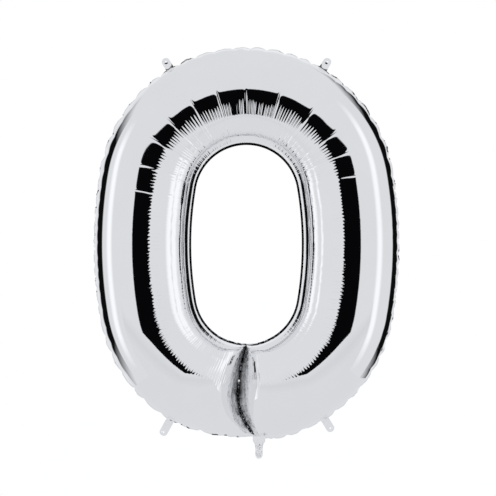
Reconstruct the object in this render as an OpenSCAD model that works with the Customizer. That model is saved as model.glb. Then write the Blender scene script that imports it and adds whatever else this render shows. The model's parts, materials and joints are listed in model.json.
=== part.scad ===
// Foil number balloon, a silver zero, shown inflated.
// Two metallised films are welded to each other round the outside, round the eye
// and across the bottom, so the gas fills one C-shaped tube whose ends meet there.
// +Z is up and the front faces -Y. The origin is where the tail leaves the bottom rim.

/* [Ring] */
// Half width of the ring, measured to the middle of the tube
side_reach = 227; // [120:1:320]
// Half height of the ring, measured to the middle of the tube
end_reach = 324.4; // [200:0.2:420]
// Radius of the long arc down each side, to the middle of the tube
side_arc_r = 852; // [600:1:1400]
// Outside radius of the inflated tube
tube_r = 104; // [60:1:130]
// Thickness of each film as modelled
film_t = 0.6; // [0.3:0.1:1.2]

/* [Seals] */
// Width of the welded margin outside the tube
rim_w = 4.5; // [3:0.5:10]
// Sideways position of the bottom seam
seam_x = -10; // [-40:1:40]
// Width of the welded web between the two tube ends
web_w = 6; // [4:0.5:12]
// Rounding where each tube end turns into the seam
end_round = 25; // [15:1:60]
// Radius of the vent hole in the web
vent_r = 1.5; // [1:0.25:2.5]
// Height of the vent hole above the middle of the web
vent_rise = 26; // [-60:1:60]
// Depth of the notch in the outer margin under the seam
notch_d = 3; // [1:0.5:4]

/* [Hanging tabs] */
// Width of a tab
tab_w = 18; // [12:1:30]
// Length of a tab from its fold line
tab_len = 28; // [20:1:45]
// Radius of the hole in a tab
tab_hole_r = 2; // [1:0.25:4]
// Lean of the two upper tabs from straight up
top_tab_lean = 31; // [10:1:60]
// Lean of the lower left tab from straight down
left_tab_lean = 29; // [10:1:60]
// Lean of the lower right tab from straight down
right_tab_lean = 31; // [10:1:60]

/* [Tail and valve] */
// Sideways position of the tail
tail_x = 27.6; // [10:0.2:60]
// Width of the tail at its root
tail_w = 28; // [16:1:40]
// Length of the tail from its fold line
tail_len = 39; // [25:1:70]
// Radius of the tail's round tip
tail_tip_r = 7.5; // [5:0.5:12]
// Thickness of each tail film as modelled
tail_t = 0.5; // [0.3:0.1:0.8]
// Space between the tail films
tail_gap = 0.8; // [0.4:0.1:1.5]
// Radius of the filling hole in the tail's front film
inlet_r = 3; // [1.5:0.25:4]
// Distance of the filling hole below the tail's fold line
inlet_drop = 20; // [10:1:30]
// Width of the valve films
valve_w = 15.6; // [10:0.2:24]
// Length of the valve films
valve_len = 108; // [60:1:180]
// Space between the two valve films
valve_gap = 0.2; // [0.1:0.05:0.4]

/* [Hidden] */
$fn = 96;
eps = 0.1;
join_gap = 0.5;
tie_len = 4;
tie_t = 0.3;
fold_gap = 0.1;
weld_t = 2 * film_t;
bore_r = tube_r - film_t;
rim_r = tube_r + rim_w;
side_off = side_arc_r - side_reach;
left_c = web_w / 2 + end_round - seam_x;
right_c = web_w / 2 + end_round + seam_x;
top_arc_r = end_arc_r(0);
left_arc_r = end_arc_r(left_c);
right_arc_r = end_arc_r(right_c);
top_turn = atan((end_reach - top_arc_r) / side_off);
left_turn = atan((end_reach - left_arc_r) / (side_off + left_c));
right_turn = atan((end_reach - right_arc_r) / (side_off + right_c));
ring_x = -tail_x;
ring_z = end_reach + rim_r;
tab_fold = rim_r + fold_gap + film_t;
tail_half_t = tail_gap / 2 + tail_t;
tail_fold = tail_half_t + fold_gap;
slot_w = 16;
silver = [0.80, 0.81, 0.82];
inner_film = [0.86, 0.87, 0.88, 0.7];

// Radius of a top or bottom arc that starts c to one side of the ring's middle
// and runs smoothly into that side's long arc
function end_arc_r(c) = (pow(side_arc_r, 2) - pow(side_off + c, 2) - pow(end_reach, 2))
    / (2 * (side_arc_r - end_reach));

// Places geometry made round the ring's own middle
module at_ring() {
    translate([ring_x, 0, ring_z])
        children();
}

// One arc of the ring: turns a section about an axis that runs front to back
module arc_run(cx, cz, r, from, to) {
    short = join_gap / 2 / r * 180 / PI;
    translate([cx, 0, cz])
        rotate([90, 0, 0])
            rotate([0, 0, from + short])
                rotate_extrude(angle = to - from - 2 * short, $fn = 180)
                    translate([r, 0])
                        children();
}

// A short straight run of a section, standing across an arc at one angle
module tie(cx, cz, r, at) {
    translate([cx, 0, cz])
        rotate([90, 0, 0])
            rotate([0, 0, at])
                translate([r, 0, 0])
                    rotate([90, 0, 0])
                        linear_extrude(height = tie_len, center = true)
                            children();
}

// Ties over the six places where one arc or end runs into the next
module ring_ties() {
    tie(right_c, right_arc_r - end_reach, right_arc_r, 270)
        children();
    tie(-side_off, 0, side_arc_r, -right_turn)
        children();
    tie(-side_off, 0, side_arc_r, top_turn)
        children();
    tie(side_off, 0, side_arc_r, 180 - top_turn)
        children();
    tie(side_off, 0, side_arc_r, 180 + left_turn)
        children();
    tie(-left_c, left_arc_r - end_reach, left_arc_r, 270)
        children();
}

// The five arcs of the ring, from the seam's right round to its left
module ring_arcs() {
    arc_run(right_c, right_arc_r - end_reach, right_arc_r, 270, 360 - right_turn)
        children();
    arc_run(-side_off, 0, side_arc_r, -right_turn, top_turn)
        children();
    arc_run(0, end_reach - top_arc_r, top_arc_r, top_turn, 180 - top_turn)
        children();
    arc_run(side_off, 0, side_arc_r, 180 - top_turn, 180 + left_turn)
        children();
    arc_run(-left_c, left_arc_r - end_reach, left_arc_r, 180 + left_turn, 270)
        children();
}

// Half of the tube wall in section; side is 1 for the front film and -1 for the back film.
// more is how much it stands out beyond the film on both faces
module wall_section(side, more) {
    difference() {
        circle(r = tube_r + more);
        circle(r = bore_r - more);
        translate([-2 * tube_r, side > 0 ? -2 * tube_r + film_t : -film_t])
            square([4 * tube_r, 2 * tube_r]);
    }
}

// The rounded end of the tube wall, closed by a flat disc, turned about the tube's middle
module end_wall() {
    rotate_extrude($fn = 120) {
        square([tube_r - end_round, film_t]);
        translate([tube_r - end_round, end_round])
            difference() {
                circle(r = end_round);
                circle(r = end_round - film_t);
                translate([-2 * end_round, 0])
                    square([4 * end_round, 2 * end_round]);
                translate([-2 * end_round, -end_round])
                    square([2 * end_round, 2 * end_round]);
            }
    }
}

// Both tube ends, facing each other across the seam
module end_walls() {
    translate([seam_x - web_w / 2, 0, -end_reach])
        rotate([0, -90, 0])
            end_wall();
    translate([seam_x + web_w / 2, 0, -end_reach])
        rotate([0, 90, 0])
            end_wall();
}

// One whole film: the C-shaped half tube with its two rounded ends
module film(side) {
    ring_arcs()
        wall_section(side, 0);
    ring_ties()
        wall_section(side, tie_t);
    difference() {
        end_walls();
        translate([-tube_r, side > 0 ? -film_t : -2 * tube_r + film_t, -end_reach - 2 * tube_r])
            cube([2 * tube_r, 2 * tube_r, 4 * tube_r]);
    }
}

// A flat margin between two distances from the tube's middle, welded front to back
module margin_run(near, far) {
    ring_arcs()
        translate([near, -film_t])
            square([far - near, weld_t]);
    ring_ties()
        translate([near + tie_t, -film_t])
            square([far - near - 2 * tie_t, weld_t]);
}

module front_foil() {
    color(silver)
        at_ring()
            film(1);
}

module back_foil() {
    color(silver)
        at_ring()
            film(-1);
}

// Welded margin round the outside, with a notch under the seam and a slot for the valve
module outer_seal_rim() {
    color(silver)
        at_ring()
            difference() {
                union() {
                    margin_run(bore_r, rim_r);
                    translate([-left_c, -film_t, -end_reach - rim_r])
                        cube([left_c + right_c, weld_t, rim_r - bore_r]);
                }
                translate([seam_x, 0, -end_reach - rim_r])
                    rotate([90, 45, 0])
                        cube([notch_d, notch_d, 4 * weld_t], center = true);
                translate([tail_x - slot_w / 2, -tail_gap / 2, -end_reach - rim_r - eps])
                    cube([slot_w, tail_gap, rim_w + 3]);
            }
}

// Welded margin round the eye of the zero
module inner_seal_rim() {
    color(silver)
        at_ring() {
            margin_run(-rim_r, -bore_r);
            translate([-left_c, -film_t, -end_reach + bore_r])
                cube([left_c + right_c, weld_t, rim_r - bore_r]);
        }
}

// Fills the corner outside one rounded tube end, in the plane of the weld
module web_corner() {
    rotate([90, 0, 0])
        linear_extrude(height = weld_t, center = true)
            difference() {
                square(end_round - film_t);
                circle(r = end_round - film_t);
            }
}

// Welded strip between the two tube ends, widening to meet both margins, with a vent hole
module end_web() {
    color(silver)
        at_ring()
            translate([seam_x, 0, -end_reach])
                difference() {
                    union() {
                        translate([-web_w / 2 - film_t, -film_t, -bore_r])
                            cube([web_w + 2 * film_t, weld_t, 2 * bore_r]);
                        for (turn = [0, 180])
                            rotate([0, turn, 0])
                                for (flip = [0, 1])
                                    mirror([flip, 0, 0])
                                        translate([-web_w / 2 - end_round, 0, tube_r - end_round])
                                            web_corner();
                    }
                    translate([0, 0, vent_rise])
                        rotate([90, 0, 0])
                            cylinder(r = vent_r, h = 4 * weld_t, center = true, $fn = 48);
                }
}

// A tab lying in the plane of the seal, its round root on the fold line, pointing up
module tab() {
    difference() {
        union() {
            rotate([90, 0, 0])
                linear_extrude(height = weld_t, center = true) {
                    translate([-tab_w / 2, 0])
                        square([tab_w, tab_len - tab_w / 2]);
                    translate([0, tab_len - tab_w / 2])
                        circle(r = tab_w / 2);
                }
            rotate([0, 90, 0])
                cylinder(r = film_t, h = tab_w, center = true, $fn = 48);
        }
        translate([0, 0, tab_len - tab_w / 2])
            rotate([90, 0, 0])
                cylinder(r = tab_hole_r, h = 4 * weld_t, center = true, $fn = 48);
    }
}

// Stands a tab on the outer margin of an arc, leaning clockwise from straight up
module tab_on(cx, cz, r, lean) {
    color(silver)
        at_ring()
            translate([cx, 0, cz])
                rotate([0, lean, 0])
                    translate([0, 0, r + tab_fold])
                        tab();
}

module top_left_tab() {
    tab_on(0, end_reach - top_arc_r, top_arc_r, -top_tab_lean);
}

module top_right_tab() {
    tab_on(0, end_reach - top_arc_r, top_arc_r, top_tab_lean);
}

module bottom_left_tab() {
    tab_on(-left_c, left_arc_r - end_reach, left_arc_r, 180 + left_tab_lean);
}

module bottom_right_tab() {
    tab_on(right_c, right_arc_r - end_reach, right_arc_r, 180 - right_tab_lean);
}

// Outline of the tail below its fold line
module tail_outline() {
    tip_z = tail_tip_r - tail_len;
    polygon([[-tail_w / 2, 0], [tail_w / 2, 0], [tail_tip_r, tip_z], [-tail_tip_r, tip_z]]);
    translate([0, tip_z])
        circle(r = tail_tip_r);
}

// Outline of the gas path inside the tail, from the fold line to just past the filling hole
module path_outline() {
    end_z = -inlet_drop;
    polygon([[-slot_w / 2, 1], [slot_w / 2, 1], [inlet_r + 1, end_z], [-inlet_r - 1, end_z]]);
    translate([0, end_z])
        circle(r = inlet_r + 1);
}

// Half of the tail: one film, thick where it is welded and hollowed along the gas path
module tail_film(side) {
    translate([0, 0, -tail_fold])
        difference() {
            union() {
                rotate([90, 0, 0])
                    linear_extrude(height = 2 * tail_half_t, center = true)
                        tail_outline();
                rotate([0, 90, 0])
                    cylinder(r = tail_half_t, h = tail_w, center = true, $fn = 48);
            }
            rotate([90, 0, 0])
                linear_extrude(height = tail_gap, center = true)
                    path_outline();
            translate([-tail_w, side > 0 ? 0 : -2 * tail_w, -2 * tail_len])
                cube([2 * tail_w, 2 * tail_w, 3 * tail_len]);
        }
}

module tail_front_film() {
    color(silver)
        difference() {
            tail_film(1);
            translate([0, -tail_half_t, -tail_fold - inlet_drop])
                rotate([90, 0, 0])
                    cylinder(r = inlet_r, h = 2 * tail_half_t, center = true, $fn = 48);
        }
}

module tail_back_film() {
    color(silver)
        tail_film(-1);
}

// Thin film of the self-sealing valve, held in the slot of the outer margin
module valve_film(side) {
    t = (tail_gap - valve_gap) / 2;
    color(inner_film)
        translate([-valve_w / 2, side > 0 ? -tail_gap / 2 : valve_gap / 2, 0.2])
            cube([valve_w, t, valve_len]);
}

module valve_front_film() {
    valve_film(1);
}

module valve_back_film() {
    valve_film(-1);
}

front_foil();
back_foil();
outer_seal_rim();
inner_seal_rim();
end_web();
top_left_tab();
top_right_tab();
bottom_left_tab();
bottom_right_tab();
tail_front_film();
tail_back_film();
valve_front_film();
valve_back_film();
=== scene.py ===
"""Foil number balloon: an inflated silver zero, in metres, in the CAD frame.

The front and back films are swept round the ring as half tubes. Their folds come from how much
film is left over when a flat ring of film is blown up: none on the outer flank, a lot between the
crest and the eye, and some along the outer weld.
"""
import json
import math

import bpy
import numpy as np
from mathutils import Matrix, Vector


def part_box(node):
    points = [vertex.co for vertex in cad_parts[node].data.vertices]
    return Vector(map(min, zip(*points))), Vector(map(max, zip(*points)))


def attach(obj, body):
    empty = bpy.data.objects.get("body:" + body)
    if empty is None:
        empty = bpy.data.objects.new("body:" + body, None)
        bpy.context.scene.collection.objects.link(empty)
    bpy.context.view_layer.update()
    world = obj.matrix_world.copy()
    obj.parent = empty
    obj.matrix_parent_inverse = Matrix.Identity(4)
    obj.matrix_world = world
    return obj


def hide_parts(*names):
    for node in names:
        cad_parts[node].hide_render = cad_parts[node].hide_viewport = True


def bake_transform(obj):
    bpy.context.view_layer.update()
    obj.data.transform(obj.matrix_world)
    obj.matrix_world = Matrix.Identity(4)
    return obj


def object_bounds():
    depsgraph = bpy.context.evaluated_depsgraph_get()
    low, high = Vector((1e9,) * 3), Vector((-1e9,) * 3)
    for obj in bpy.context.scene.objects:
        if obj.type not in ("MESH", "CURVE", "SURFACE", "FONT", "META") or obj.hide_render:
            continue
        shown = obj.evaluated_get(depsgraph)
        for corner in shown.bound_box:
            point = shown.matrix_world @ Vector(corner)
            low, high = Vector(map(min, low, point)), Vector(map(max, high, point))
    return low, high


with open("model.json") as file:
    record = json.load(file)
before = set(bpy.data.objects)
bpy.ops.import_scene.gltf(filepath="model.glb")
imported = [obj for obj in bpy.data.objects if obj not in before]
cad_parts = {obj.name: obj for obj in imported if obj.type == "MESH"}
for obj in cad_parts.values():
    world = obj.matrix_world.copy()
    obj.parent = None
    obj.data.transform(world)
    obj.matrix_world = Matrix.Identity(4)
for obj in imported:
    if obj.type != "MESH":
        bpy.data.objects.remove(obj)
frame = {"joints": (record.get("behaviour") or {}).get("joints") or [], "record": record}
CAD_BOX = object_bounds()

# ---------------------------------------------------------------- sizes from the CAD frame
OUT_LO, OUT_HI = (np.array(v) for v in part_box("outer_seal_rim"))
IN_LO, IN_HI = (np.array(v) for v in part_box("inner_seal_rim"))
WEB_LO, WEB_HI = (np.array(v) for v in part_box("end_web"))
RING_X = (OUT_LO[0] + OUT_HI[0]) / 2
RING_Z = (OUT_LO[2] + OUT_HI[2]) / 2
OUT_W, OUT_H = (OUT_HI[0] - OUT_LO[0]) / 2, (OUT_HI[2] - OUT_LO[2]) / 2
IN_W, IN_H = (IN_HI[0] - IN_LO[0]) / 2, (IN_HI[2] - IN_LO[2]) / 2
SIDE_REACH = (OUT_W + IN_W) / 2
END_REACH = (OUT_H + IN_H) / 2
RIM_R = (OUT_W - IN_W) / 2
TUBE_R = -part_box("front_foil")[0][1]
RIM_W = RIM_R - TUBE_R
SEAM_X = (WEB_LO[0] + WEB_HI[0]) / 2 - RING_X
SIDE_ARC_R = 0.852  # radius of the flat arcs along the ring's long sides

JOINTS = {j["name"]: j for j in frame["joints"]}
MOUNTS = {m["name"]: m for m in frame["record"]["mounts"]}

# Rows round half the tube: finer from the crest to the eye, where the small pleats are
ROWS = np.concatenate([np.linspace(-math.pi / 2, 0.05, 53), np.linspace(0.05, math.pi / 2, 33)[1:]])

# Columns along the ring: in the middle, packed closely at each end weld, and how far each packed run reaches
MIDDLE_COLUMNS, END_COLUMNS, END_SPAN = 1049, 71, 0.036

LEFT_END, RIGHT_END = 1.0, 1.12  # how drawn out the rounding of each end is
WEB_HALF = 0.0009  # half the gap between the two ends, which the crumpled web fills
OPEN_OVER = 0.135  # length in which an end opens to the tube's full depth

VENT_Z, VENT_R = RING_Z - END_REACH + 0.026, 0.0016
WEB_MIDDLE = 7  # the web's middle column, which the vent hole is in
TAIL_HALF, TAB_HALF = 0.0079, 0.009  # half widths of the tail at its waist and of a tab

# The flat cut of a film bends this many times less than the ring, and is as long as the ring's middle
# line at this angle, in radians, inside the crest
FLAT_BEND, EQUAL_ANGLE = 1.38, 0.19
PLEAT_MEAN = 0.66  # about the mean height of a pleat, taken off so that pleats leave the film where it was

# Where long creases cross the crest, in mm along the ring from its top, and how deep each is
CREASES = (
    (-650, 0.3), (-617, 0.15), (-588, 0.25), (-534, 0.25), (-430, 0.2), (-339, 0.6), (-287, 0.8),
    (-231, 1.0), (-179, 1.0), (-120, 1.0), (-64, 0.9), (-4, 0.9), (72, 0.9), (147, 1.0),
    (212, 1.0), (259, 0.8), (308, 0.6), (400, 0.2), (536, 0.25), (592, 0.25), (652, 0.3),
)
LOW_CREASE = 500  # creases farther than this from the top, in mm, stop inside the crest


# ---------------------------------------------------------------- small maths
def smooth(x, a, b):
    """0 at a, 1 at b, with no corner at either."""
    x = np.clip((x - a) / (b - a), 0, 1)
    return x * x * (3 - 2 * x)


def bell(x, middle, width):
    """1 at the middle, falling away on both sides."""
    return np.exp(-(((x - middle) / width) ** 2))


def noise1(seed, x, step):
    """Seeded smooth noise from -1 to 1 along x."""
    rng = np.random.default_rng(seed)
    f = (x - x.min()) / step
    i = np.floor(f).astype(int)
    v = rng.uniform(-1, 1, i.max() + 2)
    w = f - i
    w = w * w * (3 - 2 * w)
    return v[i] * (1 - w) + v[i + 1] * w


def noise2(seed, x, y, sx, sy):
    """Seeded smooth noise from -1 to 1 over two arrays of one shape."""
    rng = np.random.default_rng(seed)
    fx, fy = (x - x.min()) / sx, (y - y.min()) / sy
    ix, iy = np.floor(fx).astype(int), np.floor(fy).astype(int)
    v = rng.uniform(-1, 1, (ix.max() + 2, iy.max() + 2))
    wx, wy = fx - ix, fy - iy
    wx, wy = wx * wx * (3 - 2 * wx), wy * wy * (3 - 2 * wy)
    low = v[ix, iy] * (1 - wx) + v[ix + 1, iy] * wx
    high = v[ix, iy + 1] * (1 - wx) + v[ix + 1, iy + 1] * wx
    return low * (1 - wy) + high * wy


# ---------------------------------------------------------------- the ring's middle line
def ring_line(n=6000):
    """The tube's middle line, closed, by length from the bottom and anticlockwise from the front.

    Returns length, x, z, the outward direction and the curvature, about the ring's own middle."""
    off = SIDE_ARC_R - SIDE_REACH
    end_r = (SIDE_ARC_R**2 - off**2 - END_REACH**2) / (2 * (SIDE_ARC_R - END_REACH))
    turn = math.atan((END_REACH - end_r) / off)
    quarter = math.pi / 2 - turn
    arcs = (
        (0, end_r - END_REACH, end_r, -math.pi / 2, quarter),
        (-off, 0, SIDE_ARC_R, -turn, 2 * turn),
        (0, END_REACH - end_r, end_r, turn, 2 * quarter),
        (off, 0, SIDE_ARC_R, math.pi - turn, 2 * turn),
        (0, end_r - END_REACH, end_r, math.pi + turn, quarter),
    )
    ends = np.cumsum([0] + [r * sweep for _, _, r, _, sweep in arcs])
    length = np.linspace(0, ends[-1], n)
    x, z, a, k = (np.zeros(n) for _ in range(4))
    for (cx, cz, r, start, _), lo, hi in zip(arcs, ends[:-1], ends[1:]):
        on = (length >= lo) & (length <= hi)
        a[on] = start + (length[on] - lo) / r
        x[on], z[on], k[on] = cx + r * np.cos(a[on]), cz + r * np.sin(a[on]), 1 / r
    width = int(0.05 / (length[1] - length[0]))
    kernel = np.hanning(2 * width + 1)
    k = np.convolve(np.pad(k, width, mode="wrap"), kernel / kernel.sum(), mode="valid")
    return length, x, z, a, k


LENGTH, LINE_X, LINE_Z, LINE_A, LINE_K = ring_line()
TOTAL = LENGTH[-1]


def along(length):
    """x, z, outward x, outward z and curvature at lengths along the ring."""
    m = np.mod(length, TOTAL)
    a = np.interp(m, LENGTH, LINE_A)
    return (
        np.interp(m, LENGTH, LINE_X),
        np.interp(m, LENGTH, LINE_Z),
        np.cos(a),
        np.sin(a),
        np.interp(m, LENGTH, LINE_K),
    )


# ---------------------------------------------------------------- the inflated film
def seam_bow(q):
    """Sideways place of the bottom seam at q, from -1 at the eye to 1 at the outer rim."""
    return -0.0185 + np.where(q < 0, 0.0135, 0.039) * q**2


def pleats(seed, count, low, high):
    """Pleats low to high columns wide: each column's height, 0 in a valley and 1 on a ridge, and
    one random number from -1 to 1 for the pleat that it is in."""
    rng = np.random.default_rng(seed)
    edges = np.cumsum(np.concatenate([[0], rng.integers(low, high + 1, count // low + 2)]))
    which = np.searchsorted(edges, np.arange(count), side="right") - 1
    at = (np.arange(count) - edges[which]) / (edges[which + 1] - edges[which])
    return (4 * at * (1 - at))[:, None], rng.uniform(-1, 1, which.max() + 1)[which][:, None]


def section():
    """Half the tube's section, from the eye's weld to the outer one, at ROWS, in tube radii: how far
    out, and how deep. It is round outside the crest and flatter towards the eye, where the film
    is slack along the ring."""
    x = np.linspace(0, 1, 2001)
    u = np.clip((x - 0.42) / 0.58, 0, 1)
    lean = math.pi / 2 * (x - 0.08 * np.sin(2 * math.pi * u))
    inward, drop = np.cumsum(np.cos(lean)), np.cumsum(np.sin(lean))
    inward, drop = inward - inward[0], drop - drop[0]
    at = np.clip(-ROWS / (math.pi / 2), 0, 1)
    inner_out, inner_deep = -np.interp(at, x, inward / inward[-1]), np.interp(at, x, 1 - drop / drop[-1])
    inner_lean = -np.interp(at, x, lean)
    outside = ROWS > 0
    return (
        np.where(outside, np.sin(ROWS), inner_out),
        np.where(outside, np.cos(ROWS), inner_deep),
        np.where(outside, ROWS, inner_lean),
    )


def end_profile(from_end, stretch):
    """How far the tube has opened at a distance from its end weld, 0 to 1, and the slope per metre of
    that: two steep walls make the valley, and the film then rounds over to the tube's full depth."""
    s = np.linspace(0, OPEN_OVER, 2701)
    at = np.array([0, 8, 12, 15, 26, 40, 60, 90, 115, 135]) / 1000
    lean = np.array([66, 67, 70, 56, 45, 32, 22, 12.5, 6, 0])
    rise = np.tan(np.radians(np.interp(s, at, lean)))
    total = np.concatenate([[0], np.cumsum((rise[1:] + rise[:-1]) / 2 * (s[1] - s[0]))])
    opened = np.interp(from_end / stretch, s, total / total[-1])
    slope = np.interp(from_end / stretch, s, rise / total[-1]) / stretch
    return opened, np.where(from_end / stretch < s[-1], slope, 0)


def inner_pleats(seed, t, th, arch, spare):
    """Fine pleats that start in points just inside the crest, and the broader ones that they gather into."""
    rise, own = pleats(seed, len(t), 4, 5)
    wander = noise2(seed + 1, t, th * 0, 0.02, 1)
    start = -0.13 + 0.045 * arch - (0.045 + 0.03 * arch) * own - (0.03 + 0.03 * arch) * wander
    full = start - 0.16 - 0.1 * arch
    on = smooth(th, start, full) * smooth(th, -1.571, -1.4)
    merge = 1 - (0.8 - 0.3 * arch) * smooth(th, -0.32, -0.55)
    out = (0.0009 + 0.0002 * arch) * (1 + (0.5 + 0.3 * arch) * own) * on * (rise - PLEAT_MEAN) * merge

    rise, own = pleats(seed + 2, len(t), 8, 12)
    on = smooth(th, -0.5 + 0.1 * own, -0.95) * smooth(th, -1.45, -1.1)
    high = (0.0009 + 0.0013 * arch) * np.sqrt(spare * (th < 0))
    return out + high * on * (rise - PLEAT_MEAN) * (0.7 + 0.3 * own)


def eye_lines(seed, t, th):
    """Folds that run round the eye: a crumpled one where the broad pleats begin, and broken ones
    nearer to the eye."""
    def along_ring(number, step):
        """Noise that changes only along the ring."""
        return noise1(number, t[:, 0], step)[:, None]

    line = -0.73 + 0.008 * along_ring(seed + 3, 0.011) + 0.012 * along_ring(seed + 4, 0.05)
    out = -0.0005 * (0.8 + 0.3 * along_ring(seed + 5, 0.009)) * bell(th, line, 0.03)
    for at, deep in ((-0.9, 0.0002), (-1.02, 0.0003), (-1.14, 0.0003), (-1.28, 0.0004)):
        line = at + 0.02 * along_ring(seed + 8, 0.06)
        broken = smooth(along_ring(int(-10 * at), 0.03), -0.2, 0.3)
        out -= deep * broken * np.exp(-np.abs(th - line) / 0.02)
    return out


def long_creases(top, th):
    """Creases over the crest, with the film swelling a little between them. The low ones stop inside it."""
    out = 0 * th
    for at, deep in CREASES:
        column = np.abs(top[:, 0] - at / 1000).argmin()
        wander = 0.0016 * math.sin(at) * np.sin(7 * th + at) + 0.003 * math.sin(at * 0.7) * th
        d = np.abs(top - top[column, 0] - wander)
        fade = smooth(th, 0.4, 0.12) * smooth(th, -1.5, -0.5)
        if abs(at) > LOW_CREASE:
            fade = fade * smooth(th, -0.1, -0.3)
        out -= deep * 0.0012 * fade * np.exp(-d / 0.0019)
        out += deep * 0.00008 * fade * bell(d, 0.018, 0.013)
    return out


def film_folds(seed, t, top, th, k):
    """How far the film stands out along its normal, over the grid."""
    # the film left over along the ring, as a share of what the tube needs there; the arch is 1 at the
    # top of the ring and fades down both sides
    flat = 1 + k * TUBE_R * (EQUAL_ANGLE + th) / FLAT_BEND
    spare = np.clip(flat / (1 + k * TUBE_R * np.sin(th)) - 1, 0, None)
    arch = bell(top, 0, 0.36)
    out = inner_pleats(seed, t, th, arch, spare) + eye_lines(seed, t, th) + long_creases(top, th)

    # scallops along the outer weld, with smaller puckers at the very edge
    rise, own = pleats(seed + 6, len(t), 13, 20)
    on = smooth(th, 0.98 + 0.14 * own, 1.5)
    out += 0.018 * np.sqrt(spare * (th > 0.7)) * on * (rise - PLEAT_MEAN) * (0.8 + 0.3 * own)
    rise, own = pleats(seed + 7, len(t), 4, 7)
    out += 0.0011 * smooth(th, 1.2, 1.5) * (rise - PLEAT_MEAN) * (0.6 + 0.5 * own)
    return out


def seam_folds(seed, t, th, from_end):
    """Fine folds that run beside the bottom seam, and a few across it."""
    rise, own = (v.T for v in pleats(seed, len(ROWS), 2, 4))
    gather = bell(from_end, 0, 0.017) * smooth(from_end, 0, 0.003) * (np.cos(th) > 0.02)
    out = 0.0006 * gather * (rise - PLEAT_MEAN) * (1 + 0.4 * own)
    out = out + 0.0005 * gather * noise2(seed + 1, t, th, 0.0022, 0.11)
    out = out + 0.0007 * gather * noise2(seed + 2, t, th, 0.006, 0.06)
    return out + 0.0006 * noise2(seed + 3, t, th, 0.03, 0.25) * np.exp(-from_end / 0.05) * np.cos(th)


def seam_crush_and_shade(seed, t, th, from_end, stretch, on_right):
    """How crumpled the film is, and where its colour is painted dark: rougher on the valley's walls, with
    painted shade in broken lines along them and right beside the seam.
    """
    wall = from_end / stretch
    ragged = 0.0012 * noise2(seed + 4, t * 0, th, 1, 0.035)
    # rougher walls, and painted shade right beside the seam, where the two values add up
    crush_and_shade = 0.45 * smooth(wall, 0.0135, 0.011) + 0.5 * smooth(from_end + ragged, 0.0026, 0.0012)
    # broken lines on the walls, also painted dark as painted shade
    lines = noise2(seed + 5, from_end + 0.05 * on_right, th, 0.0016, 0.05)
    crush_and_shade = crush_and_shade + 0.3 * smooth(lines, 0.35, 0.7) * smooth(wall, 0.014, 0.012)
    return np.clip(crush_and_shade, 0, 1) * smooth(np.abs(th), 1.5, 1.3)


def film_columns():
    """Lengths along the ring of the film's columns, closer together beside the two end welds."""
    first, last = SEAM_X + WEB_HALF, TOTAL + SEAM_X - WEB_HALF
    near = END_SPAN * np.linspace(0, 1, END_COLUMNS) ** 1.25
    middle = np.linspace(first + near[-1], last - near[-1], MIDDLE_COLUMNS + 2)[1:-1]
    return np.concatenate([first + near, middle, (last - near)[::-1]])


def film_grid(side):
    """The points of one film over the grid, and at each how crumpled it is and how much shade is painted on
    it;
    side is -1 for the front film and 1 for the back."""
    t, th = np.meshgrid(COLUMN_AT, ROWS, indexing="ij")
    x, z, nx, nz, k = along(t)
    from_right, from_left = t - COLUMN_AT[0], COLUMN_AT[-1] - t
    from_end, on_right = np.minimum(from_right, from_left), from_right < from_left

    # the ring's own folds, the same in both films along the welds, and the fine folds by the seam
    seed, seam_seed = (11, 71) if side < 0 else (31, 91)
    own = film_folds(seed, t, TOTAL / 2 - t, th, k)
    shared = film_folds(51, t, TOTAL / 2 - t, th, k)
    near_weld = smooth(np.abs(th), 1.2, 1.42)
    folds = (own * (1 - near_weld) + shared * near_weld) * smooth(from_end, 0.0, 0.07)
    folds = folds + seam_folds(seam_seed, t, th, from_end)

    # the tube, closing at both ends in a valley that is narrower at the eye and at the outer rim
    narrow = 0.22 + 0.78 * smooth(th, -1.45, -0.35) - 0.2 * smooth(th, 0.5, 1.5)
    end_stretch = np.where(on_right, RIGHT_END, LEFT_END)
    close, slope = end_profile(from_end, end_stretch * narrow)
    drawn_in = 1 - 0.045 * bell(from_end, 0, 0.016) - 0.05 * bell(from_end, 0, 0.06)
    far, depth, lean = section()
    out = TUBE_R * np.where(th > 0, drawn_in, 1.0) * far
    deep = TUBE_R * depth * close
    slope = slope * TUBE_R * depth * np.where(on_right, -1, 1)
    flank = np.sin(lean)
    n = np.stack([nx * flank - nz * slope, side * np.cos(lean) + 0 * t, nz * flank + nx * slope], -1)
    n /= np.linalg.norm(n, axis=-1, keepdims=True) + 1e-9
    p = np.stack([x + nx * out, side * deep, z + nz * out], -1) + n * folds[..., None]

    # both ends lean over to meet along the bowed seam, and stand clear of the vent hole
    p[..., 0] += (seam_bow(np.sin(th)) - SEAM_X) * (1 - smooth(from_end, 0.0, 0.11))
    vent = bell(p[..., 2] + RING_Z, VENT_Z, 0.0025) * smooth(from_end, 0.012, 0)
    p[..., 0] += np.where(on_right, 0.0011, -0.0011) * vent
    p[..., 1] = np.where(side * p[..., 1] < 0.0002, side * 0.0002, p[..., 1])
    for edge in (p[0], p[-1], p[:, 0], p[:, -1]):
        edge[:, 1] = 0
    # how crumpled the film is, and where its colour is painted dark as painted shade
    crush_and_shade = seam_crush_and_shade(seam_seed, t, th, from_end, end_stretch * narrow, on_right)
    return p + np.array([RING_X, 0, RING_Z]), crush_and_shade


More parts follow.
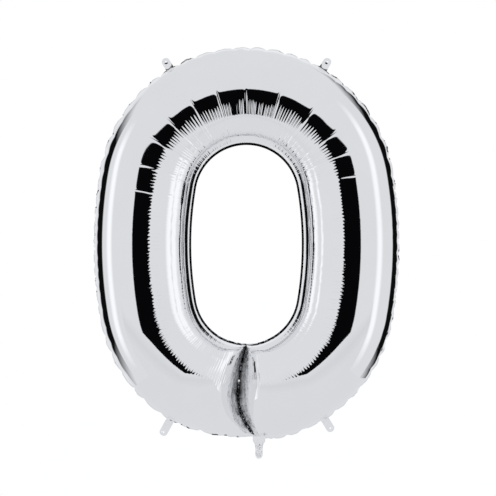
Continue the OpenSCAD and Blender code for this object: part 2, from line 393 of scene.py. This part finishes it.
def margin_grid(weld, outward, t1, width, wave, lean, seed):
    """A strip along a weld line, wavier towards its free edge, flat where the tabs and tail leave it."""
    flat = np.ones(len(t1))
    for joint in JOINTS.values():
        d = np.hypot(weld[:, 0] - joint["pos_m"][0], weld[:, 2] - joint["pos_m"][2])
        flat *= smooth(d, 0.012, 0.026)
    lift = wave * (noise1(seed, t1, 0.011) + 0.55 * noise1(seed + 1, t1, 0.005))
    wide = width - 0.0007 * (1 + noise1(seed + 2, t1, 0.009)) * flat
    rows = []
    for reach in [np.full(len(t1), at) for at in (-0.0008, 0.0, 0.0011, 0.0023, 0.0034)] + [wide]:
        across = np.clip(reach / width, 0, 1) ** 1.3
        bend = ((lift + lean) * flat * across)[:, None]
        rows.append(weld + outward * reach[:, None] + np.array([0, 1, 0]) * bend)
    return np.stack(rows, 1)


def web_grid(front):
    """The crumpled strip between the two ends of the tube, and the grid place of its vent hole."""
    z = np.linspace(front[0, 0, 2], front[0, -1, 2], 221)
    right = np.stack([np.interp(-z, -front[0, :, 2], front[0, :, i]) for i in range(3)], -1)
    left = np.stack([np.interp(-z, -front[-1, :, 2], front[-1, :, i]) for i in range(3)], -1)
    w = np.linspace(-0.12, 1.12, 2 * WEB_MIDDLE + 1)
    p = left[:, None] * (1 - w)[None, :, None] + right[:, None] * w[None, :, None]
    p[..., 2] = z[:, None]
    zz, ww = np.meshgrid(z, w, indexing="ij")
    crumple = 0.0005 * noise2(61, zz, ww, 0.006, 0.35) + 0.0012 * noise2(62, zz, ww * 0, 0.014, 1)
    calm = smooth(np.abs(zz - VENT_Z), 0.002, 0.006)
    p[..., 1] = crumple * np.clip(4 * ww * (1 - ww), 0, 1) * calm * smooth(zz, z.min(), z.min() + 0.01)

    # points inside a small circle are pushed out past the hole's radius
    row = np.abs(z - VENT_Z).argmin()
    centre = p[row, WEB_MIDDLE].copy()
    d = p - centre
    far = np.hypot(d[..., 0], d[..., 2])
    edge = 0.0029
    moved = np.where(far < edge, (VENT_R + far * (edge - VENT_R) / edge) / np.maximum(far, 1e-6), 1)
    p[..., 0] = centre[0] + d[..., 0] * moved
    p[..., 2] = centre[2] + d[..., 2] * moved
    return p, row


def mesh_object(name, points, faces, material):
    """A smooth mesh from lists of points and faces."""
    me = bpy.data.meshes.new(name)
    me.from_pydata([tuple(v) for v in points], [], [tuple(int(i) for i in f) for f in faces])
    me.polygons.foreach_set("use_smooth", [True] * len(me.polygons))
    me.materials.append(material)
    me.update()
    ob = bpy.data.objects.new(name, me)
    bpy.context.scene.collection.objects.link(ob)
    return ob


def grid_quads(nu, nv, closed=False):
    """The point numbers of a grid's quads, and those of its points."""
    idx = np.arange(nu * nv).reshape(nu, nv)
    if closed:
        idx = np.vstack([idx, idx[:1]])
    a, b, c, d = idx[:-1, :-1], idx[1:, :-1], idx[1:, 1:], idx[:-1, 1:]
    return np.stack([a, b, c, d], -1).reshape(-1, 4), idx


def grid_object(name, p, material, flip):
    """One smooth sheet over a large grid of points."""
    nu, nv = p.shape[:2]
    quads, _ = grid_quads(nu, nv)
    if flip:
        quads = quads[:, [0, 3, 2, 1]]
    me = bpy.data.meshes.new(name)
    me.vertices.add(nu * nv)
    me.vertices.foreach_set("co", p.reshape(-1).astype(np.float32))
    me.loops.add(quads.size)
    me.loops.foreach_set("vertex_index", quads.reshape(-1).astype(np.int32))
    me.polygons.add(len(quads))
    me.polygons.foreach_set("loop_start", np.arange(0, quads.size, 4, dtype=np.int32))
    me.update(calc_edges=True)
    me.polygons.foreach_set("use_smooth", np.ones(len(quads), bool))
    me.materials.append(material)
    me.validate()
    ob = bpy.data.objects.new(name, me)
    bpy.context.scene.collection.objects.link(ob)
    return ob


def point_values(ob, values):
    """Stores one number per point, which the material reads as how crumpled the film is there and how much
    painted shade darkens its colour.
    """
    ob.data.attributes.new("crush_and_shade", "FLOAT", "POINT").data.foreach_set("value", values.astype(np.float32))


def thin_object(name, p, thick, material, closed=False, drop=(), crush_and_shade=None):
    """A closed thin sheet over a grid of points; drop lists grid vertices whose faces are left out, and
    crushed is how crumpled the film is at each grid point, which also sets how much shade is painted on it."""
    nu, nv = p.shape[:2]
    if closed:
        wrapped = np.concatenate([p[-1:], p, p[:1]])
        du = np.gradient(wrapped, axis=0)[1:-1]
    else:
        du = np.gradient(p, axis=0)
    n = np.cross(du, np.gradient(p, axis=1))
    n /= np.linalg.norm(n, axis=-1, keepdims=True) + 1e-12
    points = np.concatenate([(p + n * thick / 2).reshape(-1, 3), (p - n * thick / 2).reshape(-1, 3)])
    quads, idx = grid_quads(nu, nv, closed)
    if len(drop):
        quads = quads[~np.isin(quads, [idx[i, j] for i, j in drop]).any(1)]
    half = nu * nv
    edges = np.concatenate([quads[:, [i, (i + 1) % 4]] for i in range(4)])
    seen = dict.fromkeys((u, v) for u, v in edges)
    sides = [(u, v) for u, v in seen if (v, u) not in seen]
    faces = list(quads) + list(quads[:, ::-1] + half) + [(v, u, u + half, v + half) for u, v in sides]
    used = np.unique(np.concatenate([np.asarray(f) for f in faces]))
    new = np.full(2 * half, -1)
    new[used] = np.arange(len(used))
    ob = mesh_object(name, points[used], [[new[i] for i in f] for f in faces], material)
    ob.data.set_sharp_from_angle(angle=math.radians(50))
    if crush_and_shade is not None:
        point_values(ob, np.tile(crush_and_shade.reshape(-1), 2)[used])
    return ob


def star_grid(outline, centre, hole, count, rings):
    """Flat grid of rings, in two directions, from a round hole out to an outline it can see all of."""
    turn = np.linspace(0, 2 * math.pi, count, endpoint=False)
    a, b = outline, np.roll(outline, -1, axis=0)
    reach = np.full(count, np.inf)
    for i, w in enumerate(turn):
        d = np.array([math.cos(w), math.sin(w)])
        e = b - a
        cross = d[0] * e[:, 1] - d[1] * e[:, 0]
        with np.errstate(divide="ignore", invalid="ignore"):
            s = ((a - centre)[:, 0] * e[:, 1] - (a - centre)[:, 1] * e[:, 0]) / cross
            q = ((a - centre)[:, 0] * d[1] - (a - centre)[:, 1] * d[0]) / cross
        ok = (s > 0) & (q >= -1e-9) & (q <= 1 + 1e-9) & (np.abs(cross) > 1e-15)
        reach[i] = s[ok].min()
    share = np.linspace(0, 1, rings) ** 1.3
    far = hole + (reach[:, None] - hole) * share[None, :]
    return np.stack([centre[0] + np.cos(turn)[:, None] * far, centre[1] + np.sin(turn)[:, None] * far], -1)


def tab(name, seed, crumple, curl):
    """A hanging tab: thin film with a round hole, bent across its fold line, with its root at the weld."""
    joint, hole = JOINTS[name + "_flex"], MOUNTS[name.replace("_tab", "_ribbon_hole")]
    foot, at = np.array(joint["pos_m"]), np.array(hole["pos_m"])
    drop = np.linalg.norm(at - foot)
    v_dir = (at - foot) / drop
    u_dir = np.array([v_dir[2], 0, -v_dir[0]])
    to_weld = OUTER_WELD - foot
    behind = (np.abs(to_weld @ u_dir) < TAB_HALF) & (np.linalg.norm(to_weld, axis=1) < 0.03)
    root = np.median((to_weld @ v_dir)[behind]) + 0.001
    tip = [(TAB_HALF * math.cos(w), drop + TAB_HALF * math.sin(w)) for w in np.linspace(0, math.pi, 25)]
    outline = np.array([(-TAB_HALF * 1.03, root), (TAB_HALF * 1.03, root)] + tip)
    grid = star_grid(outline, np.array([0, drop]), hole["dims"]["r_mm"] / 1000, 72, 13)

    # crumpled and curled past the fold, and flatter round the hole
    u, v = grid[..., 0], grid[..., 1]
    free = smooth(v, 0.001, 0.012)
    lift = crumple * free * (noise2(seed, u, v, 0.006, 0.007) + 0.5 * noise2(seed + 1, u, v, 0.003, 0.004))
    lift += curl * free * (v / 0.02) ** 2 + 0.0006 * free * np.cos(u / TAB_HALF * 2.2)
    lift *= smooth(np.hypot(u, v - drop), 0.001, 0.006) * 0.6 + 0.4
    p = foot + u[..., None] * u_dir + v[..., None] * v_dir + lift[..., None] * np.array([0, 1, 0])
    ob = thin_object(name + "_film", p, 0.00035, TAB_FOIL, closed=True)
    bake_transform(ob)
    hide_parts(name)


def tail_half(side, grid):
    """One film of the filling tail, puffed along the gas path and crumpled with the other one."""
    foot = np.array(JOINTS["tail_flex"]["pos_m"])
    u, v = grid[..., 0], grid[..., 1]
    free = smooth(v, 0.001, 0.01)
    shared = free * (0.0034 * noise2(41, u, v, 0.0055, 0.006) + 0.0018 * noise2(42, u, v, 0.003, 0.003))
    shared += 0.0014 * free * np.sin(v / 0.0085) - 0.0004 * free
    gas_path = bell(u, 0, 0.0045) * smooth(v, 0.031, 0.024)
    lift = shared + side * (0.00022 + 0.0003 * smooth(v, 0.001, -0.001) + 0.0009 * gas_path * free)
    p = foot + np.stack([u, lift, -v], -1)
    name, node = ("tail_front", "tail_front_film") if side < 0 else ("tail_back", "tail_back_film")
    # along the creases the film is rougher and its colour is painted dark: painted shade
    flatness = np.abs(noise2(43, u, v, 0.0052, 0.006)) + 0.5 * np.abs(noise2(44, u, v, 0.0025, 0.003))
    crease_and_shade = smooth(flatness, 0.3, 0.08) * smooth(v, -0.002, 0.003)
    ob = thin_object(name, p, 0.0003, TAB_FOIL, closed=side < 0, crush_and_shade=crease_and_shade)
    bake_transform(ob)
    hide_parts(node)


def tail():
    """Flared root at the weld, waist and rounded tip, with the filling hole in the front film."""
    foot, hole = JOINTS["tail_flex"]["pos_m"], MOUNTS["inflation_inlet"]
    low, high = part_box("tail_front_film")
    wide, end = (high[0] - low[0]) / 2, foot[2] - low[2]
    tip = 0.008

    def half(v):
        """Half the tail's width at v below its fold."""
        body = TAIL_HALF + (wide - TAIL_HALF) * np.exp(-np.clip(v, 0, None) / 0.006)
        round_off = np.clip(v - end + TAIL_HALF, 0, None) / TAIL_HALF
        return body * np.sqrt(np.clip(1 - round_off**2, 0.02, 1))

    nearest = np.hypot(OUTER_WELD[:, 0] - foot[0], OUTER_WELD[:, 2] - foot[2]).argmin()
    root = OUTER_WELD[nearest, 2] - foot[2]
    straight = np.linspace(-root, end - tip, 34)
    v = np.concatenate([straight, end - tip * np.cos(np.linspace(0.1, math.pi / 2, 12))])
    outline = np.concatenate([np.stack([half(v), v], -1), np.stack([-half(v), v], -1)[::-1]])
    centre = np.array([0.0, foot[2] - hole["pos_m"][2]])
    tail_half(-1, star_grid(outline, centre, hole["dims"]["r_mm"] / 1000, 96, 15))
    w = np.linspace(-1, 1, 21)
    tail_half(1, np.stack([half(v)[:, None] * w[None, :], v[:, None] + 0 * w[None, :]], -1))


def valve(side, node):
    """One thin film of the valve, rippled, inside the tube behind the tail."""
    low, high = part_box(node)
    v = np.linspace(OUT_LO[2] + RIM_W + 0.003, high[2], 70)
    u = np.linspace(low[0], high[0], 13)
    uu, vv = np.meshgrid(u, v, indexing="ij")
    ripple = 0.0018 * smooth(vv, 0.005, 0.04) * np.sin(vv / 0.0095 + 40 * uu)
    y = ripple + side * (0.0003 + 0.0004 * np.cos(uu / high[0] * 1.5) * smooth(vv, 0.005, 0.02))
    ob = thin_object(node.replace("_film", "_sheet"), np.stack([uu, y, vv], -1), 0.0001, VALVE_FILM)
    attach(ob, "ring")
    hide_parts(node)


# ---------------------------------------------------------------- materials
def principled(name):
    """A new material with its nodes, its links and its main shader."""
    material = bpy.data.materials.new(name)
    material.use_nodes = True
    tree = material.node_tree
    return material, tree.nodes, tree.links, tree.nodes["Principled BSDF"]


def foil_material(name, tone, rough_low, rough_high, scale, bump):
    """Metallised film: a near mirror with a little haze that varies, and fine handling marks."""
    material, nodes, links, shader = principled(name)
    shader.inputs["Metallic"].default_value = 1.0
    place = nodes.new("ShaderNodeTexCoord")
    haze = nodes.new("ShaderNodeTexNoise")
    haze.inputs["Scale"].default_value = scale
    haze.inputs["Detail"].default_value = 4
    links.new(place.outputs["Object"], haze.inputs["Vector"])
    span = nodes.new("ShaderNodeMapRange")
    span.inputs["From Min"].default_value = 0.3
    span.inputs["From Max"].default_value = 0.7
    span.inputs["To Min"].default_value = rough_low
    span.inputs["To Max"].default_value = rough_high
    links.new(haze.outputs["Fac"], span.inputs["Value"])

    # rougher where the film is crumpled, and its colour painted near black, as painted shade, where the
    # stored value is highest
    crush_and_shade = nodes.new("ShaderNodeAttribute")
    crush_and_shade.attribute_name = "crush_and_shade"
    rough = nodes.new("ShaderNodeMath")
    rough.operation = "MULTIPLY_ADD"
    rough.inputs[1].default_value = 0.75
    links.new(crush_and_shade.outputs["Fac"], rough.inputs[0])
    links.new(span.outputs["Result"], rough.inputs[2])
    links.new(rough.outputs[0], shader.inputs["Roughness"])
    tint = nodes.new("ShaderNodeMixRGB")
    tint.inputs[1].default_value = (tone, tone * 1.003, tone * 1.01, 1)
    tint.inputs[2].default_value = (tone * 0.94, tone * 0.945, tone * 0.96, 1)
    links.new(haze.outputs["Fac"], tint.inputs[0])
    painted_shade_share = nodes.new("ShaderNodeMapRange")
    painted_shade_share.inputs["From Min"].default_value = 0.55
    painted_shade_share.inputs["From Max"].default_value = 0.95
    links.new(crush_and_shade.outputs["Fac"], painted_shade_share.inputs["Value"])
    painted_shade = nodes.new("ShaderNodeMixRGB")
    painted_shade.inputs[2].default_value = (0.01, 0.01, 0.012, 1)
    links.new(painted_shade_share.outputs["Result"], painted_shade.inputs[0])
    links.new(tint.outputs[0], painted_shade.inputs[1])
    links.new(painted_shade.outputs[0], shader.inputs["Base Color"])

    # fine handling marks
    marks = nodes.new("ShaderNodeTexNoise")
    marks.inputs["Scale"].default_value = 260
    marks.inputs["Detail"].default_value = 3
    links.new(place.outputs["Object"], marks.inputs["Vector"])
    lift = nodes.new("ShaderNodeBump")
    lift.inputs["Strength"].default_value = bump
    lift.inputs["Distance"].default_value = 0.0004
    links.new(marks.outputs["Fac"], lift.inputs["Height"])
    links.new(lift.outputs["Normal"], shader.inputs["Normal"])
    return material


def seam_shade_material():
    """The same film crumpled along the bottom seam, its colour painted near black as painted shade, with
    spots of the film's own tone that catch real reflections.
    """
    material, nodes, links, shader = principled("seam_foil_painted_shade")
    shader.inputs["Metallic"].default_value = 1.0
    shader.inputs["Roughness"].default_value = 0.15
    place = nodes.new("ShaderNodeTexCoord")
    grain = nodes.new("ShaderNodeTexNoise")
    grain.inputs["Scale"].default_value = 260
    grain.inputs["Detail"].default_value = 3
    links.new(place.outputs["Object"], grain.inputs["Vector"])
    crush_and_shade = nodes.new("ShaderNodeAttribute")
    crush_and_shade.attribute_name = "crush_and_shade"
    both = nodes.new("ShaderNodeMath")
    both.operation = "SUBTRACT"
    links.new(crush_and_shade.outputs["Fac"], both.inputs[0])
    links.new(grain.outputs["Fac"], both.inputs[1])
    # painted shade: near black over most of the web, with grain spots of the film's own tone
    ramp = nodes.new("ShaderNodeValToRGB")
    ramp.color_ramp.elements[0].position = 0.0
    ramp.color_ramp.elements[0].color = (0.85, 0.87, 0.9, 1)
    ramp.color_ramp.elements[1].position = 0.14
    ramp.color_ramp.elements[1].color = (0.01, 0.01, 0.012, 1)
    links.new(both.outputs[0], ramp.inputs["Fac"])
    links.new(ramp.outputs["Color"], shader.inputs["Base Color"])
    return material


def valve_material():
    """Thin milky polyethylene."""
    material, nodes, links, shader = principled("valve_polyethylene")
    shader.inputs["Transmission Weight"].default_value = 0.5
    shader.inputs["IOR"].default_value = 1.5
    place = nodes.new("ShaderNodeTexCoord")
    cloud = nodes.new("ShaderNodeTexNoise")
    cloud.inputs["Scale"].default_value = 90
    links.new(place.outputs["Object"], cloud.inputs["Vector"])
    ramp = nodes.new("ShaderNodeValToRGB")
    ramp.color_ramp.elements[0].color = (0.80, 0.81, 0.82, 1)
    ramp.color_ramp.elements[1].color = (0.92, 0.93, 0.93, 1)
    links.new(cloud.outputs["Fac"], ramp.inputs["Fac"])
    links.new(ramp.outputs["Color"], shader.inputs["Base Color"])
    span = nodes.new("ShaderNodeMapRange")
    span.inputs["To Min"].default_value = 0.3
    span.inputs["To Max"].default_value = 0.5
    links.new(cloud.outputs["Fac"], span.inputs["Value"])
    links.new(span.outputs["Result"], shader.inputs["Roughness"])
    return material


# ---------------------------------------------------------------- stage
TINT = (1.0, 1.013, 1.04)


def studio():
    """Even pale room, with the dark gap round the camera and the side lights that the film reflects."""
    world = bpy.data.worlds.new("studio")
    bpy.context.scene.world = world
    world.use_nodes = True
    nodes, links = world.node_tree.nodes, world.node_tree.links
    nodes.clear()
    place = nodes.new("ShaderNodeTexCoord")
    split = nodes.new("ShaderNodeSeparateXYZ")
    links.new(place.outputs["Generated"], split.inputs[0])

    def calc(op, a, b=None):
        """The output of a maths node for one or two numbers or outputs."""
        n = nodes.new("ShaderNodeMath")
        n.operation = op
        for i, v in enumerate((a, b)):
            if v is None:
                continue
            if isinstance(v, (int, float)):
                n.inputs[i].default_value = v
            else:
                links.new(v, n.inputs[i])
        return n.outputs[0]

    def ramp(value, stops):
        """Brightness by value, through stops of place and level."""
        n = nodes.new("ShaderNodeValToRGB")
        links.new(value, n.inputs["Fac"])
        e = n.color_ramp.elements
        while len(e) > 1:
            e.remove(e[-1])
        for i, (at, level) in enumerate(stops):
            el = e[0] if i == 0 else e.new(at)
            el.position = at
            el.color = (level * TINT[0], level * TINT[1], level * TINT[2], 1)
        return n.outputs["Color"]

    def blend(share, a, b):
        """a where the share is 0 and b where it is 1."""
        n = nodes.new("ShaderNodeMixRGB")
        for i, v in enumerate((share, a, b)):
            if isinstance(v, tuple):
                n.inputs[i].default_value = v
            else:
                links.new(v, n.inputs[i])
        return n.outputs[0]

    across = calc("ARCTAN2", split.outputs[0], calc("MULTIPLY", split.outputs[1], -1))
    turn = calc("ADD", calc("DIVIDE", across, 2 * math.pi), 0.5)
    rise = calc("ADD", calc("DIVIDE", calc("ARCSINE", split.outputs[2]), math.pi), 0.5)

    def up(degrees):
        """Place on a ramp of the height above the horizon."""
        return 0.5 + degrees / 180

    # by degrees round from the camera: grey walls, a soft light, a dark edge, the backdrop
    wall = 0.755
    right = ((0, wall), (60, wall), (67, 1.0), (74, 1.02), (82, wall), (117, wall), (120, 0.004),
             (149, 0.004), (153, wall), (180, 0.9))
    left = ((73, wall), (80, 1.02), (87, 1.02), (95, wall), (108, wall), (111, 0.004), (136, 0.004),
            (140, wall), (180, 0.9))
    stops = [(0.5 - d / 360, v) for d, v in reversed(left)] + [(0.5 + d / 360, v) for d, v in right]
    sides = ramp(turn, stops)
    low = ((0, 0), (up(-36), 0), (up(-20), 1))
    left_on = ramp(rise, low + ((up(22), 1), (up(36), 0)))
    right_on = ramp(rise, low + ((up(30), 1), (up(46), 0)))
    sides_on = blend(calc("GREATER_THAN", split.outputs[0], 0.0), left_on, right_on)
    room = blend(sides_on, tuple(wall * v for v in TINT) + (1,), sides)
    inside, outside = 20 / 360, 21 / 360
    gap = ramp(turn, ((0, 0), (0.5 - outside, 0), (0.5 - inside, 1), (0.5 + inside, 1), (0.5 + outside, 0)))
    gap_on = ramp(rise, ((0, 0), (up(-52), 0), (up(-50), 1), (up(10), 1), (up(11), 0)))
    lit = blend(calc("MULTIPLY", gap, gap_on), room, (0.002, 0.002, 0.0025, 1))
    seen = nodes.new("ShaderNodeLightPath")
    back = nodes.new("ShaderNodeBackground")
    links.new(blend(seen.outputs["Is Camera Ray"], lit, (1, 1, 1, 1)), back.inputs["Color"])
    out = nodes.new("ShaderNodeOutputWorld")
    links.new(back.outputs[0], out.inputs["Surface"])


def floor():
    """Pale floor just under the tail, narrow beside the balloon, and the low pale card standing on it."""
    low = CAD_BOX[0][2] - 0.04
    near, middle, far, lip = -0.54, -0.25, 9.0, 0.168
    narrow, wide = 0.5, 1.1
    material, nodes, links, _ = principled("pale_floor")
    seen = nodes.new("ShaderNodeLightPath")
    glow = nodes.new("ShaderNodeEmission")
    place = nodes.new("ShaderNodeNewGeometry")
    split = nodes.new("ShaderNodeSeparateXYZ")
    links.new(place.outputs["Position"], split.inputs[0])
    height = nodes.new("ShaderNodeMapRange")
    height.inputs["From Min"].default_value = low
    height.inputs["From Max"].default_value = lip
    links.new(split.outputs[2], height.inputs["Value"])
    shade = nodes.new("ShaderNodeValToRGB")
    e = shade.color_ramp.elements
    e[0].color = (0.735,) * 3 + (1,)
    e.new(0.6).color = (0.69,) * 3 + (1,)
    e[2].color = (0.755,) * 3 + (1,)
    links.new(height.outputs["Result"], shade.inputs["Fac"])
    level = nodes.new("ShaderNodeMixRGB")
    level.inputs[2].default_value = (1, 1, 1, 1)
    links.new(seen.outputs["Is Camera Ray"], level.inputs[0])
    links.new(shade.outputs["Color"], level.inputs[1])
    glow.inputs["Color"].default_value = TINT + (1,)
    links.new(level.outputs[0], glow.inputs["Strength"])
    links.new(glow.outputs[0], nodes["Material Output"].inputs["Surface"])
    points = [(s * x, y, low) for y, x in ((far, narrow), (middle, narrow), (near, wide)) for s in (-1, 1)]
    mesh_object("studio_floor", points, [(0, 2, 3, 1), (2, 4, 5, 3)], material)
    points = [(x, near, z) for z in (low, lip) for x in (-wide, wide)]
    card = mesh_object("studio_card", points, [(0, 2, 3, 1)], material)
    card.visible_camera = False


def camera():
    """Straight on from the front, a little right of the ring's middle and a little below it."""
    cam = bpy.data.cameras.new("camera")
    cam.sensor_width = 36
    away, across = 2.75, 1.095
    aside, below = 0.0033, 0.008
    cam.lens = cam.sensor_width * away / across
    ob = bpy.data.objects.new("camera", cam)
    ob.location = (RING_X + aside, -away, RING_Z - below)
    ob.rotation_euler = (math.pi / 2, 0, 0)
    bpy.context.scene.collection.objects.link(ob)
    bpy.context.scene.camera = ob
    bpy.context.scene.view_settings.view_transform = "Standard"


# ---------------------------------------------------------------- build
camera()
studio()
floor()
FOIL = foil_material("silver_foil", 0.95, 0.015, 0.04, 9, 0.03)
MARGIN = foil_material("welded_foil", 0.92, 0.03, 0.07, 60, 0.05)
TAB_FOIL = foil_material("tab_foil", 0.97, 0.06, 0.14, 60, 0.05)
SEAM_FOIL_SHADED = seam_shade_material()
VALVE_FILM = valve_material()

COLUMN_AT = film_columns()
front, front_crush_shade = film_grid(-1)
back, back_crush_shade = film_grid(1)
OUTER_WELD = front[:, -1]
# each film also stores how crumpled it is, which sets its roughness and where painted shade darkens its
# colour
for name, p, crush_and_shade, node in (
    ("front_film", front, front_crush_shade, "front_foil"),
    ("back_film", back, back_crush_shade, "back_foil"),
):
    ob = grid_object(name, p, FOIL, flip=node == "back_foil")
    point_values(ob, crush_and_shade.reshape(-1))
    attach(ob, "ring")
    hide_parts(node)

# the outer margin leans back a little, except at two places near the top where it stands straight
_, _, NX, NZ, _ = along(COLUMN_AT)
OUTWARD = np.stack([NX, 0 * NX, NZ], -1)
TOP = TOTAL / 2 - COLUMN_AT
LEAN = 0.0017 * (1 - bell(TOP, -0.095, 0.03) - bell(TOP, 0.18, 0.05))
outer = margin_grid(OUTER_WELD, OUTWARD, COLUMN_AT, RIM_W, 0.0012, LEAN, 21)
inner = margin_grid(front[:, 0], -OUTWARD, COLUMN_AT, RIM_W, 0.00012, 0, 25)
web, vent_row = web_grid(front)

# the free edge of the outer margin is crumpled in places, in a stretch left of the seam: rougher there, and
# its colour painted dark as painted shade
to_seam = COLUMN_AT[-1] - COLUMN_AT
turned_and_shaded = smooth(noise1(27, COLUMN_AT, 0.005), 0.05, 0.35)
turned_and_shaded = turned_and_shaded * smooth(to_seam, 0.008, 0.014) * smooth(to_seam, 0.13, 0.1)
turned_and_shaded = turned_and_shaded[:, None] * np.array([0, 0, 0, 0.9, 1, 1])
# the whole web gets one value, which its material turns into painted shade with spots of the film's own tone
web_painted_shade = np.full(web.shape[:2], 0.64)
for name, p, node, closed, drop, crush_and_shade in (
    ("outer_margin", outer, "outer_seal_rim", True, (), turned_and_shaded),
    ("inner_margin", inner, "inner_seal_rim", True, (), None),
    ("seam_web", web, "end_web", False, ((vent_row, WEB_MIDDLE),), web_painted_shade),
):
    ob = thin_object(name, p, 0.0005, SEAM_FOIL_SHADED if node == "end_web" else MARGIN, closed, drop, crush_and_shade)
    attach(ob, "ring")
    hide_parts(node)

tab("top_left_tab", 101, 0.0003, 0.0024)
tab("top_right_tab", 111, 0.0003, 0.0024)
tab("bottom_left_tab", 121, 0.0016, 0.004)
tab("bottom_right_tab", 131, 0.0005, 0.003)
tail()
valve(-1, "valve_front_film")
valve(1, "valve_back_film")
